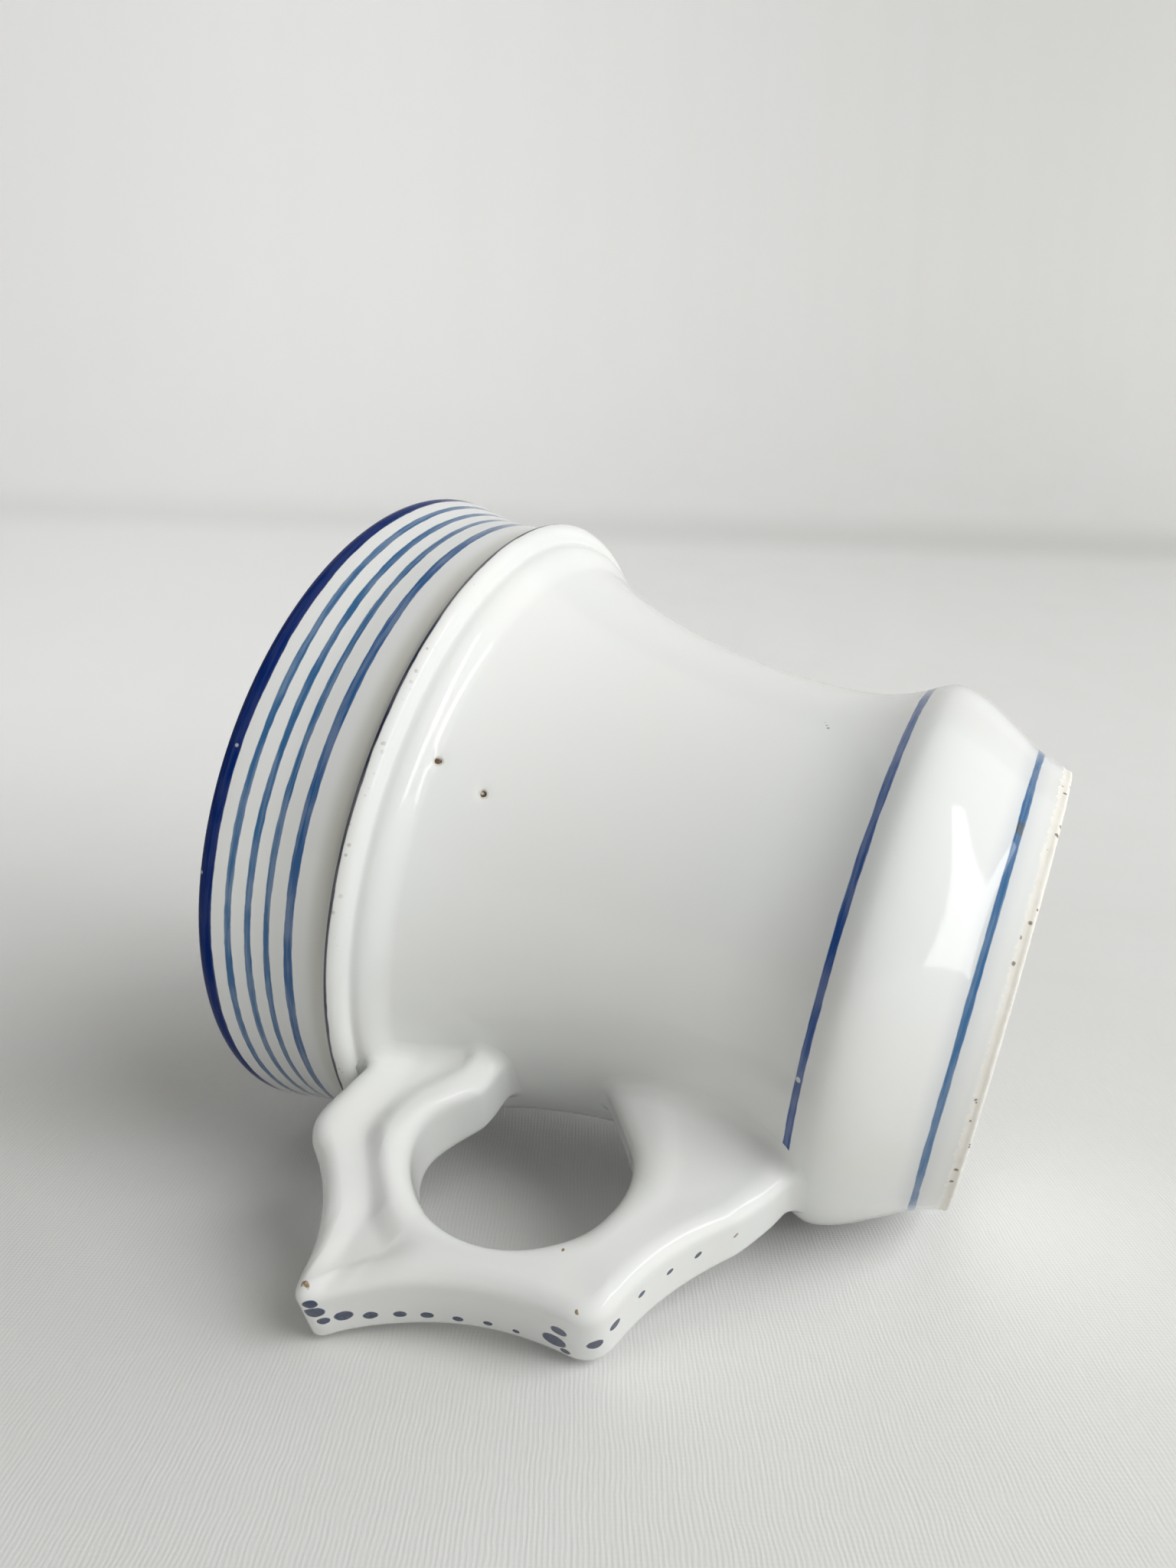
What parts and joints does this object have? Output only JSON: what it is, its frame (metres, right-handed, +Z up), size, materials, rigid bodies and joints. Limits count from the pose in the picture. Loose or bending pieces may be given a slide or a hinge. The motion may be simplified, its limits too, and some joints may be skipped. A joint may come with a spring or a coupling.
{
  "type": "brulot cup",
  "caption": "Thick porcelain brulot cup with a flared rim, waisted body, bulged foot and a pierced star-cornered handle luted to the wall with slip.",
  "frame": {"origin": "on the cup's axis, in the plane that the foot ring stands on", "axes": "+Z up along the cup's axis, +X from the axis through the middle of the handle"},
  "size_m": [0.1107, 0.0868, 0.086],
  "materials": {
    "white_glaze": "gloss",
    "handle_glaze": "gloss",
    "fired_slip": "satin"
  },
  "bodies": {
    "root": {"cup_body": "white_glaze", "handle": "handle_glaze", "upper_slip_joint": "fired_slip", "lower_slip_joint": "fired_slip"}
  },
  "joints": []
}
